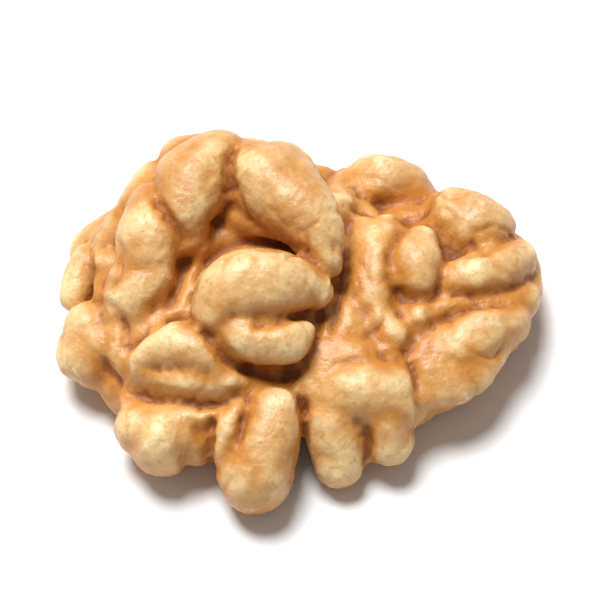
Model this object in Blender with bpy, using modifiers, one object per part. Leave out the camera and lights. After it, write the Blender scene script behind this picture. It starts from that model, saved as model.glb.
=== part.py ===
"""One shelled walnut half, as it lies after cracking: two lobes of folded flesh, grown as one piece.

The half lies on its flat inner face with its domed outer face up. X runs across both lobes, -Y is the
front edge and +Z is up. Each fold of flesh is a round-ended tube along a short route, laid half sunk
in a core. Voxel remeshing grows folds and cores into one skin. Creases are pressed into it, the folds
are bent a little, and the skin is then swollen between the creases.

The folds and creases that show on the outer face are laid out on a drawing plane. It faces the front
and leans back by LEAN, square to the direction in which the dome shows most of its folds. A place on
it is (across, up), and a height over the inner face says how far in front of the plane a fold lies.
"""

import math

import bmesh
import bpy
import numpy as np
from mathutils import Matrix, Vector, noise
from mathutils.bvhtree import BVHTree

MM = 0.001

# How the outer face is drawn
LEAN = math.radians(60)
DRAWING_SHIFT = 3.0  # mm, up the plane, from the flesh's own origin to the drawing's
INWARDS = Vector((0, math.cos(LEAN), -math.sin(LEAN)))

# How the skin grows, in millimetres
VOXEL = 0.3
SPLINE_STEPS = 6  # samples between two route points of a fold
CAP_RINGS = 4  # rings that round off each end of a fold
BEVEL_SEGMENTS = 6
CORE_SEGMENTS = 48
CREASE_STEP = 0.25  # between the samples of a crease
CREASE_FALLOFF = 1.3  # over 1 makes a rounder bottom than a plain exponential
CREASE_SLANT = 0.6  # how much a crease is pressed in square to the skin, not straight back
BEND_SIZE = 5.0  # between the wanderings of the folds
BEND_SEEDS = (17.0, 29.0, 41.0)
BEND_ALL = 0.25  # how far the folds wander on the outer face
BEND_HIDDEN = 1.1  # how much further they wander behind and underneath
BEND_UPWARDS = 0.3  # share of that in height
BEHIND = (8.0, 13.0)  # y where the back starts, and where it is all back
UNDERNEATH = (4.5, 1.5)  # z, likewise
PAST_FRONT = (-8.0, -4.0)  # y, so that the front lobes keep their place
LUMPS = ((4.5, 0.22, 3.0), (2.2, 0.09, 1.5))  # (size, height, seed) of each layer of lumps
SWELL_ROUNDS = 27  # of easing, to find what counts as a rise
RISES = 0.3  # share by which each rise is exaggerated
HOLLOWS = 0.5
SWELL_LIMIT = 0.6
KEPT_SHARE = 0.12  # of the faces, after thinning
FOOT_TRIM = 0.25  # taken off the lowest lobes, which are a little flattened where they touch

# Folds of the left lobe's outer face, each a route of (across, up, height, radius)
LEFT_LOBE = {
    "limb_foot": [(-11.6, -0.2, 5.8, 1.5), (-11.9, 1.6, 6.6, 2.3), (-11.1, 3.2, 7.4, 2.3)],
    "limb_top": [(-10.9, 4.6, 8.0, 2.3), (-10.6, 6.2, 8.3, 2.6), (-10.3, 7.6, 8.1, 2.5)],
    "crown_left": [
        (-7.9, 5.6, 8.0, 1.6), (-8.2, 7.6, 8.9, 2.5), (-7.6, 9.6, 9.3, 3.0), (-6.4, 11.0, 9.2, 2.9),
    ],
    "crown_right": [
        (-3.5, 11.0, 9.4, 2.8), (-2.0, 9.9, 9.8, 3.1), (-0.2, 8.3, 10.0, 2.8), (1.1, 6.5, 9.8, 2.2),
        (1.8, 4.6, 9.2, 1.7),
    ],
    "arch_floor": [
        (-7.8, 3.0, 5.6, 1.9), (-6.4, 5.2, 6.2, 2.0), (-4.8, 6.2, 6.4, 2.0), (-2.6, 6.0, 6.0, 2.0),
    ],
    "arch_nodules": [(-4.3, 7.5, 8.2, 1.2), (-3.3, 7.3, 8.5, 1.2), (-1.8, 6.9, 8.6, 1.0)],
    "middle_boss": [
        (-5.9, 0.7, 8.7, 2.1), (-5.3, 1.8, 9.3, 2.5), (-3.9, 2.5, 9.7, 2.8), (-2.0, 2.8, 9.8, 2.7),
        (-0.3, 2.7, 9.4, 2.2), (0.8, 2.4, 8.9, 1.6),
    ],
    "boss_lip": [
        (-5.3, -0.3, 8.1, 1.8), (-4.0, -0.9, 8.2, 2.0), (-2.4, -1.3, 8.2, 2.0), (-1.0, -1.3, 8.1, 1.8),
        (-0.3, -1.1, 7.8, 1.4),
    ],
    "boss_root": [(-5.0, 0.4, 6.8, 2.2), (-2.0, 0.8, 7.0, 2.4), (0.8, 1.8, 6.6, 2.0)],
    "shelf": [
        (-11.0, -2.9, 6.0, 1.4), (-9.4, -2.0, 6.9, 1.9), (-8.0, -1.9, 7.4, 2.0),
        (-6.6, -2.7, 7.2, 1.8), (-5.0, -3.6, 6.8, 1.3),
    ],
    "shelf_lip": [
        (-11.6, -3.9, 5.2, 0.9), (-9.6, -4.0, 6.0, 1.2), (-7.6, -4.1, 6.5, 1.5),
        (-5.8, -4.3, 6.6, 1.2), (-4.2, -4.1, 6.6, 0.8),
    ],
    "left_lobule": [(-15.0, -0.8, 3.8, 2.2), (-15.0, -2.5, 3.0, 2.6), (-14.2, -1.8, 3.8, 2.2)],
    "left_knob": [(-13.9, 4.8, 5.2, 1.2), (-13.5, 3.8, 5.6, 1.3)],
    "left_rim": [(-16.4, 1.6, 3.6, 1.1), (-15.8, 3.2, 4.0, 1.3), (-15.0, 4.6, 4.2, 1.4)],
    "left_shoulder": [(-15.0, 4.8, 2.8, 1.7), (-13.8, 5.8, 3.2, 1.8), (-12.2, 6.8, 3.4, 2.0)],
    "left_web": [(-15.2, 1.8, 3.0, 1.3), (-14.4, 3.6, 3.6, 1.8)],
    "front_left_lobule": [
        (-11.2, -7.6, 3.4, 2.2), (-9.8, -8.2, 3.3, 2.9), (-8.4, -8.2, 3.4, 2.5),
        (-7.7, -8.4, 3.3, 2.1),
    ],
    "front_left_root": [(-11.2, -5.8, 3.8, 1.9), (-8.6, -6.2, 4.4, 2.2), (-6.0, -6.0, 5.0, 2.0)],
    "front_lobe": [(-1.9, -6.4, 5.0, 2.1), (-2.4, -8.6, 4.1, 2.6), (-3.1, -10.8, 2.9, 2.9)],
    "front_ridge": [(-5.0, -6.4, 5.6, 1.2), (-5.3, -8.0, 4.9, 1.3), (-5.1, -9.4, 4.0, 1.3)],
}

# Folds of the right lobe's outer face
RIGHT_LOBE = {
    "saddle": [(1.6, -2.2, 5.2, 1.8), (3.8, -2.8, 5.3, 2.1), (6.2, -3.0, 5.1, 1.9)],
    "front_right": [
        (1.7, -5.3, 4.6, 2.0), (3.6, -5.1, 5.0, 2.4), (5.8, -5.1, 4.9, 2.5), (7.3, -5.7, 4.3, 2.1),
    ],
    "inner_toe": [(2.3, -7.0, 4.0, 2.1), (2.6, -8.6, 3.0, 2.1), (2.8, -10.0, 2.1, 1.8)],
    "outer_toe": [(6.0, -6.8, 4.0, 2.1), (6.4, -8.3, 2.9, 1.9)],
    "toe_web": [(4.3, -7.0, 3.6, 1.9), (4.5, -8.4, 2.4, 1.7)],
    "diagonal": [
        (9.8, -3.1, 4.4, 2.0), (11.2, -2.2, 4.6, 2.4), (13.0, -1.0, 4.6, 2.5), (14.6, 0.0, 4.3, 2.2),
    ],
    "diagonal_foot": [
        (9.6, -4.8, 2.6, 2.0), (11.2, -3.8, 2.8, 2.2), (13.0, -2.3, 2.9, 2.1), (14.4, -0.9, 2.8, 1.9),
    ],
    "right_ball": [(11.6, 6.9, 5.5, 2.8), (12.6, 6.7, 5.6, 3.0)],
    "right_band": [
        (10.6, 2.7, 6.2, 1.4), (12.4, 3.2, 6.3, 1.8), (14.2, 3.9, 5.9, 2.0), (15.4, 4.3, 5.2, 1.7),
    ],
    "band_foot": [(10.4, 1.0, 5.0, 1.5), (13.0, 1.6, 5.1, 1.8), (15.8, 1.6, 4.2, 1.7)],
    "right_rim": [(16.0, 4.0, 3.4, 1.4), (16.5, 2.2, 3.4, 1.4)],
    "small_lobule": [(8.5, 5.3, 6.7, 1.7), (8.3, 4.3, 7.0, 2.0), (8.4, 3.2, 6.8, 1.8)],
    "inner_ridge": [
        (6.0, 6.0, 6.0, 2.0), (5.7, 4.8, 6.3, 2.3), (5.6, 3.2, 6.4, 2.2), (5.2, 1.6, 6.2, 2.0),
    ],
    "inner_ridge_side": [(5.0, 6.0, 5.8, 2.0), (4.8, 4.4, 6.1, 2.2), (4.6, 2.4, 6.1, 2.1)],
    "groove_floor": [
        (3.4, 7.0, 5.6, 1.8), (3.2, 4.0, 5.9, 1.9), (2.9, 1.0, 5.8, 1.9), (3.2, -1.0, 5.6, 1.9),
    ],
    "long_nodule": [(5.7, 0.6, 6.5, 1.3), (5.9, 0.2, 6.5, 1.3)],
    "round_nodule": [(6.5, -0.9, 6.1, 1.5), (6.8, -1.2, 6.0, 1.5)],
    "outer_nodule": [(8.5, 0.5, 6.2, 1.2), (8.8, 0.1, 6.1, 1.2)],
    "nodule_root": [(5.2, -0.8, 5.4, 1.9), (7.2, 1.0, 5.4, 1.8), (8.0, -0.6, 5.2, 1.9)],
    "back_right": [(3.8, 9.4, 4.2, 1.9), (6.0, 9.9, 4.4, 2.3), (8.4, 9.2, 4.0, 2.0)],
}

# Folds round the back edge, each a route of (x, y, z, radius)
BACK_EDGE = {
    "back_left_bend": [
        (-14.0, 7.0, 2.6, 2.1), (-13.0, 7.2, 4.8, 2.2), (-11.4, 9.0, 6.2, 2.3),
        (-10.2, 11.2, 4.8, 2.3), (-10.8, 11.4, 2.7, 2.2),
    ],
    "back_left_nub": [(-12.6, 9.4, 2.5, 1.9), (-12.4, 9.2, 3.4, 1.6)],
    "back_crown_bend": [
        (-8.0, 13.4, 2.7, 2.3), (-7.6, 12.8, 5.0, 2.4), (-5.8, 12.4, 7.4, 2.3), (-3.6, 13.0, 6.2, 2.2),
        (-3.2, 13.6, 4.6, 2.0),
    ],
    "back_crown_low": [(-5.4, 14.4, 2.7, 2.0), (-3.6, 14.4, 2.6, 2.2), (-2.0, 14.0, 2.6, 2.1)],
    "back_middle": [(0.4, 13.2, 2.5, 2.2), (-0.6, 12.6, 4.4, 2.2), (-0.8, 11.2, 7.2, 2.4)],
    "back_groove_side": [(2.8, 12.6, 2.4, 2.0), (2.8, 11.2, 4.0, 2.1), (2.0, 8.8, 6.6, 2.1)],
    "back_right_low": [(5.0, 13.0, 2.2, 2.0), (7.0, 12.9, 2.3, 2.2), (8.6, 12.0, 2.8, 2.1)],
    "back_right_side": [(10.2, 9.2, 4.4, 2.1), (10.8, 10.4, 2.7, 2.3), (12.6, 9.2, 2.4, 2.2)],
    "back_right_corner": [(13.2, 6.6, 4.2, 2.2), (14.6, 6.4, 2.8, 2.3), (15.9, 4.2, 2.5, 1.9)],
}

# Folds of the flat inner face, round a shallow hollow between the lobes
INNER_FACE = {
    "inner_left_rim": [
        (-8.0, -6.2, 2.7, 2.4), (-11.4, -3.6, 2.5, 2.5), (-13.2, 0.0, 2.5, 2.3),
        (-12.8, 2.6, 2.4, 2.4),
    ],
    "inner_left_side": [(-12.6, 4.8, 2.5, 2.3), (-10.4, 7.2, 2.4, 2.6), (-9.8, 9.4, 2.6, 2.2)],
    "inner_left_back": [(-7.4, 10.4, 2.5, 2.6), (-4.8, 11.2, 2.5, 2.4), (-2.4, 9.6, 2.7, 2.2)],
    "inner_left_curl": [
        (-9.4, -2.4, 2.8, 2.4), (-8.4, 1.0, 2.4, 2.5), (-9.4, 4.2, 2.6, 2.3), (-7.0, 6.0, 2.8, 2.2),
    ],
    "inner_left_middle": [(-5.2, -0.2, 3.2, 2.2), (-4.6, 3.0, 2.9, 2.3), (-4.0, 6.6, 3.0, 2.2)],
    "inner_left_front": [(-5.4, -7.4, 2.7, 2.3), (-4.4, -5.2, 2.5, 2.4), (-5.6, -2.8, 2.9, 2.2)],
    "inner_right_front": [(3.4, -6.2, 2.5, 2.3), (6.2, -4.6, 2.4, 2.4), (9.2, -2.8, 2.4, 2.4)],
    "inner_right_rim": [(12.2, -0.8, 2.5, 2.4), (13.2, 2.6, 2.5, 2.4), (11.4, 5.8, 2.5, 2.6)],
    "inner_right_back": [(9.2, 8.4, 2.6, 2.5), (6.4, 9.8, 2.5, 2.4), (3.6, 10.2, 2.7, 2.2)],
    "inner_right_curl": [
        (5.6, -1.6, 2.9, 2.2), (8.8, 0.4, 2.5, 2.4), (9.2, 3.6, 2.6, 2.3), (6.6, 5.6, 2.7, 2.3),
    ],
    "inner_right_middle": [(5.6, 1.2, 3.1, 2.0), (5.8, 2.8, 3.1, 2.0)],
    "hollow_left": [
        (-2.2, -3.6, 3.6, 1.9), (-1.0, -0.6, 3.7, 2.0), (-1.8, 2.6, 3.8, 2.0), (-0.8, 6.0, 3.7, 2.0),
    ],
    "hollow_right": [
        (2.0, -3.4, 3.7, 1.9), (2.6, 0.0, 3.8, 2.1), (1.8, 3.4, 3.9, 2.0), (3.0, 6.6, 3.6, 2.0),
    ],
    "isthmus": [(-1.6, 9.0, 4.0, 2.2), (1.4, 8.6, 4.1, 2.2), (4.2, 8.2, 4.0, 2.0)],
}

# The flesh under the folds: (centre, half sizes) of each core
CORES = {
    "left_core": ((-5.8, 2.8, 5.2), (9.2, 10.4, 2.7)),
    "right_core": ((8.8, 2.4, 4.5), (7.4, 8.8, 2.5)),
    "middle_core": ((2.0, 2.6, 5.6), (5.5, 9.4, 2.0)),
}

# Creases of the outer face, each (route of (across, up), half width, depth)
OUTER_CREASES = {
    "limb_inside": ([(-9.6, 0.4), (-8.8, 2.4), (-8.0, 4.2), (-6.6, 5.6)], 0.4, 0.5),
    "arch_notch": ([(-10.8, 9.0), (-9.3, 7.3), (-8.0, 5.6)], 0.3, 0.5),
    "arch_cleft": ([(-4.9, 12.8), (-4.9, 11.6), (-4.8, 10.2), (-4.6, 8.8)], 0.4, 0.5),
    "limb_middle": ([(-13.4, 4.0), (-11.8, 3.6), (-10.0, 3.4)], 0.4, 0.25),
    "boss_back": ([(-8.0, 0.8), (-7.2, 3.4), (-5.4, 5.1), (-2.6, 5.7), (0.0, 5.2), (1.4, 3.9)], 0.35, 0.5),
    "boss_front": ([(-3.6, -0.2), (-2.0, -0.2), (-0.2, 0.3), (1.2, 1.3)], 0.3, 0.5),
    "lip_under": ([(-6.2, -1.4), (-5.2, -2.8), (-3.4, -3.6), (-1.2, -3.9), (0.4, -3.2)], 0.5, 0.9),
    "lip_end": ([(1.6, 1.0), (1.3, -0.4), (0.7, -2.0)], 0.35, 0.6),
    "shelf_left": ([(-12.4, -2.6), (-11.0, -1.0), (-9.2, 0.1), (-8.0, 0.2)], 0.4, 0.6),
    "shelf_right": ([(-7.2, -0.2), (-6.2, -1.8), (-5.0, -3.0), (-3.6, -4.0)], 0.4, 0.6),
    "shelf_under": ([(-12.8, -4.9), (-10.6, -5.4), (-8.4, -5.7), (-6.4, -5.9), (-4.6, -5.4)], 0.5, 1.1),
    "shelf_fold": ([(-11.8, -3.3), (-9.8, -3.6), (-8.2, -3.3)], 0.3, 0.3),
    "lobule_edge": ([(-12.4, -4.2), (-12.1, -2.0), (-12.6, 0.2), (-14.2, 1.5), (-16.4, 1.2)], 0.35, 0.5),
    "knob_edge": ([(-14.8, 2.4), (-13.2, 2.8), (-12.7, 4.4), (-12.9, 6.0)], 0.4, 0.4),
    "front_gap": ([(-6.4, -6.4), (-6.4, -8.0), (-6.4, -10.0)], 0.35, 0.6),
    "front_ridge_edge": ([(-3.9, -6.2), (-4.2, -7.6), (-4.2, -9.0)], 0.3, 0.35),
    "toe_left": ([(0.2, -4.4), (0.3, -6.4), (0.4, -9.0)], 0.4, 0.6),
    "between_toes": ([(4.7, -7.2), (4.8, -8.6), (4.7, -10.2)], 0.4, 0.5),
    "diagonal_low": ([(8.0, -2.6), (8.4, -4.8), (8.8, -7.2)], 0.35, 0.5),
    "diagonal_top": ([(8.4, -1.4), (10.0, 0.0), (12.6, 1.0), (16.2, 1.2)], 0.35, 0.5),
    "ball_edge": ([(9.4, 8.0), (9.9, 6.2), (10.4, 5.0), (12.0, 4.7), (14.0, 5.4), (15.4, 6.2)], 0.35, 0.4),
    "band_edge": ([(9.8, 2.0), (12.0, 1.8), (14.2, 2.2), (16.4, 3.0)], 0.3, 0.25),
    "small_edge": ([(7.4, 6.8), (6.5, 5.0), (6.4, 3.2), (7.4, 1.8), (9.4, 1.5), (10.3, 3.4)], 0.3, 0.4),
    "nodule_edge": ([(4.9, -1.2), (6.2, -2.6), (7.9, -2.2), (8.2, -0.8)], 0.3, 0.3),
    "back_right_edge": ([(2.8, 9.0), (5.0, 7.9), (7.8, 7.4), (9.6, 8.4)], 0.4, 0.5),
    "median_groove": ([(3.5, 8.2), (3.5, 6.0), (3.3, 3.6), (2.6, 1.0), (2.0, -1.4)], 0.4, 0.5),
}


def clear_scene():
    for obj in list(bpy.data.objects):
        bpy.data.objects.remove(obj)


def on_plane(across, up, height):
    """The place in space, in millimetres, of a place on the drawing plane."""
    y = (up + DRAWING_SHIFT - height * math.cos(LEAN)) / math.sin(LEAN)
    return Vector((across, y, height))


def spline(route):
    """Catmull-Rom samples through a route of points with any number of values each."""
    points = [Vector(point) for point in route]
    ends = [2 * points[0] - points[1], *points, 2 * points[-1] - points[-2]]
    samples = []
    for before, start, end, after in zip(ends, ends[1:], ends[2:], ends[3:]):
        for step in range(SPLINE_STEPS):
            t = step / SPLINE_STEPS
            linear = t * (end - before)
            square = t**2 * (2 * before - 5 * start + 4 * end - after)
            cube = t**3 * (3 * start - before - 3 * end + after)
            samples.append(0.5 * (2 * start + linear + square + cube))
    return [*samples, points[-1]]


def rounded_end(tip, neighbour):
    """Rings that close a tube with half a ball, from the tip's own ring outwards."""
    outwards = (tip - neighbour).to_3d().normalized()
    rings = []
    for ring in range(1, CAP_RINGS + 1):
        angle = 0.49 * math.pi * ring / CAP_RINGS
        place = tip.to_3d() + outwards * tip.w * math.sin(angle)
        rings.append(Vector((*place, tip.w * math.cos(angle))))
    return rings


def fold_mesh(name, route):
    """A closed tube along the route of (x, y, z, radius)."""
    samples = spline(route)
    first_end = rounded_end(samples[0], samples[1])
    last_end = rounded_end(samples[-1], samples[-2])
    line = [*reversed(first_end), *samples, *last_end]
    curve = bpy.data.curves.new(name, "CURVE")
    curve.dimensions = "3D"
    curve.bevel_depth = MM
    curve.bevel_resolution = BEVEL_SEGMENTS
    curve.use_fill_caps = True
    path = curve.splines.new("POLY")
    path.points.add(len(line) - 1)
    for point, sample in zip(path.points, line):
        point.co = (*(sample.to_3d() * MM), 1)
        point.radius = sample.w
    tube = bpy.data.objects.new(name, curve)
    bpy.context.scene.collection.objects.link(tube)
    graph = bpy.context.evaluated_depsgraph_get()
    mesh = bpy.data.meshes.new_from_object(tube.evaluated_get(graph))
    bpy.data.objects.remove(tube)
    return mesh


def flesh():
    """All folds and cores in one mesh, still as separate closed shells that overlap."""
    body = bmesh.new()
    for name, route in {**LEFT_LOBE, **RIGHT_LOBE}.items():
        placed = [(*on_plane(across, up, height), radius) for across, up, height, radius in route]
        body.from_mesh(fold_mesh(name, placed))
    for name, route in {**BACK_EDGE, **INNER_FACE}.items():
        body.from_mesh(fold_mesh(name, route))
    for centre, half_sizes in CORES.values():
        place = Matrix.Translation(Vector(centre) * MM) @ Matrix.Diagonal((*(Vector(half_sizes) * MM), 1))
        bmesh.ops.create_uvsphere(
            body, u_segments=CORE_SEGMENTS, v_segments=CORE_SEGMENTS // 2, radius=1, matrix=place
        )
    mesh = bpy.data.meshes.new("walnut_kernel")
    body.to_mesh(mesh)
    body.free()
    return mesh


def apply_modifiers(obj):
    graph = bpy.context.evaluated_depsgraph_get()
    mesh = bpy.data.meshes.new_from_object(obj.evaluated_get(graph))
    obj.modifiers.clear()
    obj.data = mesh


def grow_skin(obj, easing):
    """One even skin over whatever the object holds, eased by that many rounds."""
    remesh = obj.modifiers.new("one_skin", "REMESH")
    remesh.mode = "VOXEL"
    remesh.voxel_size = VOXEL * MM
    smooth = obj.modifiers.new("ease", "SMOOTH")
    smooth.factor = 0.5
    smooth.iterations = easing
    apply_modifiers(obj)


def vertex_values(mesh, name):
    values = np.empty(len(mesh.vertices) * 3)
    mesh.vertices.foreach_get(name, values)
    return values.reshape(-1, 3)


def move_vertices(mesh, places):
    mesh.vertices.foreach_set("co", (places * MM).ravel())
    mesh.update()


def crease_on_skin(tree, route):
    """Close samples of a crease's route, dropped on the skin square to the drawing plane."""
    corners = spline([(across, up) for across, up in route])
    samples = []
    for start, end in zip(corners, corners[1:]):
        steps = max(1, int((end - start).length / CREASE_STEP))
        samples += [start.lerp(end, step / steps) for step in range(steps)]
    far_out = -100 * MM * INWARDS
    hits = [tree.ray_cast(on_plane(*sample, 0) * MM + far_out, INWARDS)[0] for sample in samples]
    return np.array([hit / MM for hit in hits if hit])


def press_creases(mesh):
    """Pushes the skin in along every crease, deepest on its line and fading out at its ends."""
    tree = BVHTree.FromPolygons([v.co for v in mesh.vertices], [tuple(f.vertices) for f in mesh.polygons])
    places = vertex_values(mesh, "co") / MM
    push = np.zeros(len(places))
    for route, half_width, depth in OUTER_CREASES.values():
        line = crease_on_skin(tree, route)
        reach = 3 * half_width
        near = np.flatnonzero(((places > line.min(0) - reach) & (places < line.max(0) + reach)).all(1))
        squared = ((places[near, None] - line[None]) ** 2).sum(2)
        along = squared.argmin(1) / len(line)
        ends = np.sqrt(np.clip(5 * np.minimum(along, 1 - along), 0, 1))
        shape = np.exp(-((np.sqrt(squared.min(1)) / half_width) ** CREASE_FALLOFF))
        push[near] = np.maximum(push[near], depth * shape * ends)
    direction = np.array(INWARDS) - CREASE_SLANT * vertex_values(mesh, "normal")
    direction /= np.linalg.norm(direction, axis=1)[:, None]
    move_vertices(mesh, places + direction * push[:, None])


def noise_at(places, size, seed):
    """Smooth noise between about -1 and 1, with features of that size in millimetres."""
    shift = Vector((seed, 2 * seed, 3 * seed))
    return np.array([noise.noise(Vector(place) / size + shift) for place in places])


def rising(values, start, full):
    """0 up to the start and 1 from full, with an even slope between them."""
    return np.clip((values - start) / (full - start), 0, 1)


def bend_folds(mesh):
    """Makes the folds wander: a little on the outer face, and more behind and underneath."""
    places = vertex_values(mesh, "co") / MM
    bend = np.stack([noise_at(places, BEND_SIZE, seed) for seed in BEND_SEEDS], axis=1)
    behind = rising(places[:, 1], *BEHIND)
    under = rising(places[:, 2], *UNDERNEATH) * rising(places[:, 1], *PAST_FRONT)
    reach = BEND_ALL + BEND_HIDDEN * np.maximum(behind, under)
    move_vertices(mesh, places + bend * reach[:, None] * (1, 1, BEND_UPWARDS))


def raise_lumps(mesh):
    """Uneven swelling along the folds."""
    places = vertex_values(mesh, "co") / MM
    rise = sum(height * noise_at(places, size, seed) for size, height, seed in LUMPS)
    move_vertices(mesh, places + vertex_values(mesh, "normal") * rise[:, None])


def eased_places(mesh, places, rounds):
    """Where the points go when each moves half way to the middle of its neighbours, again and again."""
    ends = np.empty(len(mesh.edges) * 2, dtype=np.int64)
    mesh.edges.foreach_get("vertices", ends)
    first, second = ends.reshape(-1, 2).T
    neighbours = np.bincount(ends, minlength=len(places))
    for _ in range(rounds):
        total = [
            np.bincount(first, axis[second], len(axis)) + np.bincount(second, axis[first], len(axis))
            for axis in places.T
        ]
        places = (places + (np.array(total) / neighbours).T) / 2
    return places


def swell(mesh):
    """Exaggerates rises and hollows, so that the folds bulge against each other."""
    places = vertex_values(mesh, "co") / MM
    change = places - eased_places(mesh, places, SWELL_ROUNDS)
    size = np.linalg.norm(change, axis=1)
    change *= np.minimum(1, SWELL_LIMIT / np.maximum(size, MM))[:, None]
    outwards = (change * vertex_values(mesh, "normal")).sum(1) > 0
    share = np.where(outwards, RISES, HOLLOWS)
    move_vertices(mesh, places + share[:, None] * change)


def thin_out(obj):
    thin = obj.modifiers.new("thin", "DECIMATE")
    thin.ratio = KEPT_SHARE
    apply_modifiers(obj)


def set_down(mesh):
    """Centres the kernel over the origin and cuts its lowest lobes level at z = 0."""
    places = vertex_values(mesh, "co")
    middle = (places.min(0) + places.max(0)) / 2
    foot = places[:, 2].min() + FOOT_TRIM * MM
    mesh.transform(Matrix.Translation((-middle[0], -middle[1], -foot)))
    body = bmesh.new()
    body.from_mesh(mesh)
    cut = bmesh.ops.bisect_plane(
        body,
        geom=[*body.verts, *body.edges, *body.faces],
        dist=1e-7,
        plane_co=(0, 0, 0),
        plane_no=(0, 0, -1),
        clear_outer=True,
    )
    rims = [edge for edge in cut["geom_cut"] if isinstance(edge, bmesh.types.BMEdge)]
    bmesh.ops.holes_fill(body, edges=rims)
    bmesh.ops.triangulate(body, faces=body.faces)
    bmesh.ops.recalc_face_normals(body, faces=body.faces)
    body.to_mesh(mesh)
    body.free()


def skin_material():
    material = bpy.data.materials.new("kernel_skin")
    material.use_nodes = True
    shader = material.node_tree.nodes["Principled BSDF"]
    shader.inputs["Base Color"].default_value = (0.68, 0.39, 0.15, 1)
    shader.inputs["Roughness"].default_value = 0.5
    shader.inputs["Metallic"].default_value = 0.0
    return material


def main():
    clear_scene()
    parts = bpy.data.collections.new("walnut_half")
    bpy.context.scene.collection.children.link(parts)
    kernel = bpy.data.objects.new("walnut_kernel", flesh())
    parts.objects.link(kernel)
    grow_skin(kernel, easing=4)
    press_creases(kernel.data)
    bend_folds(kernel.data)
    raise_lumps(kernel.data)
    grow_skin(kernel, easing=2)
    swell(kernel.data)
    grow_skin(kernel, easing=2)
    thin_out(kernel)
    set_down(kernel.data)
    kernel.data.shade_smooth()
    kernel.data.materials.append(skin_material())


main()
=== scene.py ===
"""One shelled walnut half resting on its inner face, on a plain pale floor.

The sections follow the making: the kernel first, from its folds to its skin's finish, then the board
that it lies on, the lights and the camera.
"""

import math

import bmesh
import bpy
import numpy as np
from mathutils import Matrix, Vector, noise
from mathutils.bvhtree import BVHTree


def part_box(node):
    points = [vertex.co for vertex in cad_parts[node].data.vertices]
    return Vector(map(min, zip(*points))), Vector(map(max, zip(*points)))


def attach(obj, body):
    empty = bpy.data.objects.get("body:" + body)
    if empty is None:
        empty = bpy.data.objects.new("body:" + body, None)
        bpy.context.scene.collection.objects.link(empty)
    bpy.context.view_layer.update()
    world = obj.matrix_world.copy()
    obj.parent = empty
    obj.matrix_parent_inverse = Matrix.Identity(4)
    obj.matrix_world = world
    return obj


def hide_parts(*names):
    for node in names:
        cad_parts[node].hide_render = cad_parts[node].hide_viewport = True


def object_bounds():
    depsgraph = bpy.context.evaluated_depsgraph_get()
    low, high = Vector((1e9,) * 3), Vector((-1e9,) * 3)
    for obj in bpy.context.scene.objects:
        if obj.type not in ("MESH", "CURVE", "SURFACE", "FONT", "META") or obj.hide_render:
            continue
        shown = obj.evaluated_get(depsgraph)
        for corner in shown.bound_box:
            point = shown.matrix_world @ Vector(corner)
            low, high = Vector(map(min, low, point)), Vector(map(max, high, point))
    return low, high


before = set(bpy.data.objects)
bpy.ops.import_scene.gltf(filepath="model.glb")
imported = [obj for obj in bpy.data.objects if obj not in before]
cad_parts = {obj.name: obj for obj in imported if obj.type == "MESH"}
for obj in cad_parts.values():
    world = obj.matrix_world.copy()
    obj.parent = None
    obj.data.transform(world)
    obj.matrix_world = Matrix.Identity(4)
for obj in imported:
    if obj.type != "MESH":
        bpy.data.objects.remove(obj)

cad_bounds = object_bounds()

# The kernel: two lobes of oily flesh under a thin, dry skin, pressed into folds by the shell that it
# grew in. Each fold is a round-ended tube half sunk in a core, one skin is grown over them all, and
# creases, lumps and fine wrinkles are worked into it. It stands for the plain solid of the same form.
MM = 0.001
SKIN_STEP = 0.2  # mm between points of the skin
SPLINE_STEPS = 6  # samples between two points of a route
CAP_RINGS = 4  # rings that round off each end of a fold
CAP_TURN = 0.49 * math.pi  # just short of a quarter turn, so that the last ring keeps a size
TUBE_SEGMENTS = 6
CORE_SEGMENTS = 64

# The outer face's folds and creases are laid out on a plane that faces the front and leans back. A
# place on it is (across, up), and a height over the inner face says how far in front a fold lies.
LEAN = math.radians(60)
PLANE_SHIFT = 3.0  # mm, up the plane, from the kernel's own origin to the plane's
INWARDS = Vector((0, math.cos(LEAN), -math.sin(LEAN)))

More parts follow.
